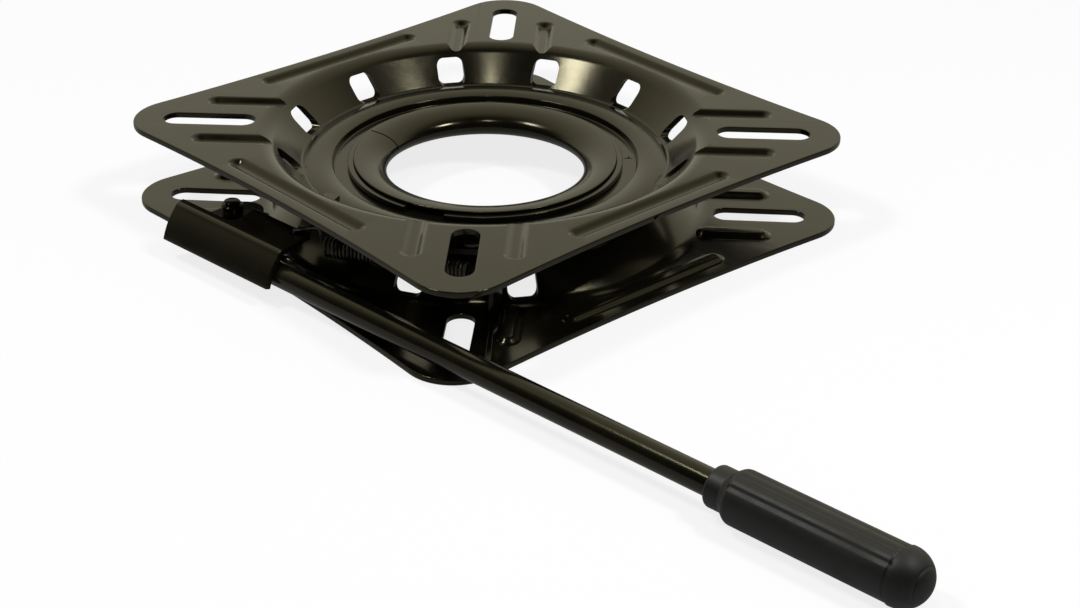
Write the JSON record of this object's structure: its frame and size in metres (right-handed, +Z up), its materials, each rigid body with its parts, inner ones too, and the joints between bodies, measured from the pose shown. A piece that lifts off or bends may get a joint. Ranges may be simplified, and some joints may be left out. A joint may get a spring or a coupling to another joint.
{
  "type": "boat seat swivel mount",
  "caption": "Square pressed steel swivel plate pair on a ball race, with slotted corners, a rolled hub and a spring-loaded locking lever.",
  "frame": {"origin": "on the swivel axis, in the plane of the lower plate's rim underside, where the mount rests on its pedestal or deck", "axes": "+Z up along the swivel axis, towards the seat; +X along the side that the lever lies beside, towards its grip; the lever is on the -Y side"},
  "size_m": [0.3351, 0.1897, 0.031],
  "materials": {
    "black_enamel": "gloss black enamel over pressed steel, reflecting olive grey from above",
    "bright_steel": "bare spring steel and hardened balls with a film of grease",
    "natural_nylon": "natural moulded nylon",
    "black_vinyl": "matte black dipped vinyl"
  },
  "bodies": {
    "base": {"lower_plate": "black_enamel", "hub_sleeve": "black_enamel", "upper_retaining_ring": "black_enamel", "lower_retaining_ring": "black_enamel", "centre_bush": "natural_nylon", "pivot_spacer": "bright_steel", "pivot_rivet": "black_enamel", "lever_spring": "bright_steel"},
    "seat_plate": {"upper_plate": "black_enamel"},
    "cage": {"ball_cage": "natural_nylon", "ball_01": "bright_steel", "ball_02": "bright_steel", "ball_03": "bright_steel", "ball_04": "bright_steel", "ball_05": "bright_steel", "ball_06": "bright_steel", "ball_07": "bright_steel", "ball_08": "bright_steel", "ball_09": "bright_steel", "ball_10": "bright_steel", "ball_11": "bright_steel", "ball_12": "bright_steel", "ball_13": "bright_steel", "ball_14": "bright_steel", "ball_15": "bright_steel", "ball_16": "bright_steel"},
    "lever": {"lever_bracket": "black_enamel", "rod_weld": "black_enamel", "lever_rod": "black_enamel", "lever_grip": "black_vinyl"}
  },
  "joints": [
    {"name": "swivel", "type": "hinge", "parent": "base", "child": "seat_plate", "pos_m": [0, 0, 0.0155], "axis": [0, 0, 1], "continuous": true},
    {"name": "cage_roll", "type": "hinge", "parent": "base", "child": "cage", "pos_m": [0, 0, 0.0155], "axis": [0, 0, 1], "continuous": true},
    {"name": "lever_release", "type": "hinge", "parent": "base", "child": "lever", "pos_m": [-0.03459, -0.07842, 0.01], "axis": [0, 0, 1], "range_deg": [-14, 0], "stiffness_Nm_per_rad": 0.8, "springref_deg": 20.05, "deforming": ["lever_spring"]}
  ]
}
